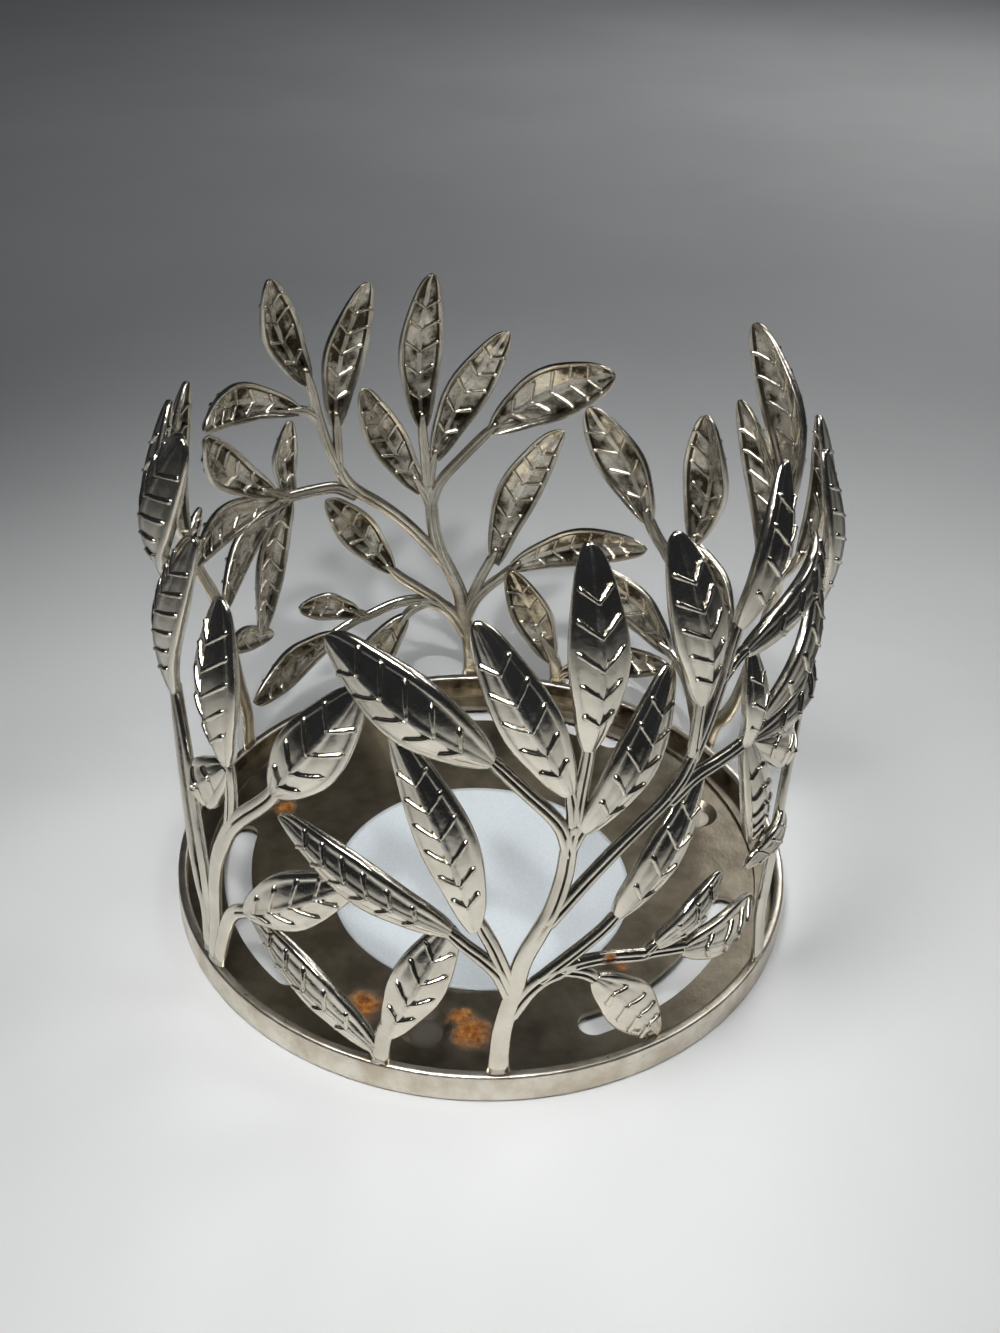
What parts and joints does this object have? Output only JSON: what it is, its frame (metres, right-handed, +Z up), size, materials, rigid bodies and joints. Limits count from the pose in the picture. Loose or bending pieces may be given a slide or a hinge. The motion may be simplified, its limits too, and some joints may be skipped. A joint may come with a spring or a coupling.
{
  "type": "candle ring",
  "caption": "Open ring of leafy metal sprays on a plain band, with a slotted base plate inside, that dresses a jar candle standing in it.",
  "frame": {"origin": "on the ring's axis, at the level of the table that it stands on", "axes": "+Z up along the ring's axis, -Y towards the front of the picture, +X to its right"},
  "size_m": [0.09, 0.09, 0.081],
  "materials": {
    "plated_leaves": "bright nickel plate, tarnished brown inside",
    "plated_band": "satin nickel plate, fine pitting",
    "plate": "dull plated steel with rust spots",
    "label": "blank matt paper"
  },
  "bodies": {
    "root": {"base_band": "plated_band", "base_plate": "plate", "paper_label": "label", "crown_spray_a": "plated_leaves", "crown_spray_b": "plated_leaves", "tall_spray_a": "plated_leaves", "tall_spray_b": "plated_leaves", "corner_spray_a": "plated_leaves", "corner_spray_b": "plated_leaves", "cradle_spray_a": "plated_leaves", "cradle_spray_b": "plated_leaves", "arch_leaf_a": "plated_leaves", "arch_leaf_b": "plated_leaves", "high_spray_a": "plated_leaves", "high_spray_b": "plated_leaves", "fan_spray_a": "plated_leaves", "fan_spray_b": "plated_leaves", "low_spray_a": "plated_leaves", "low_spray_b": "plated_leaves", "side_spray_a": "plated_leaves", "side_spray_b": "plated_leaves", "fork_leaf_a": "plated_leaves", "fork_leaf_b": "plated_leaves", "band_sprig_a": "plated_leaves", "band_sprig_b": "plated_leaves"}
  },
  "joints": []
}
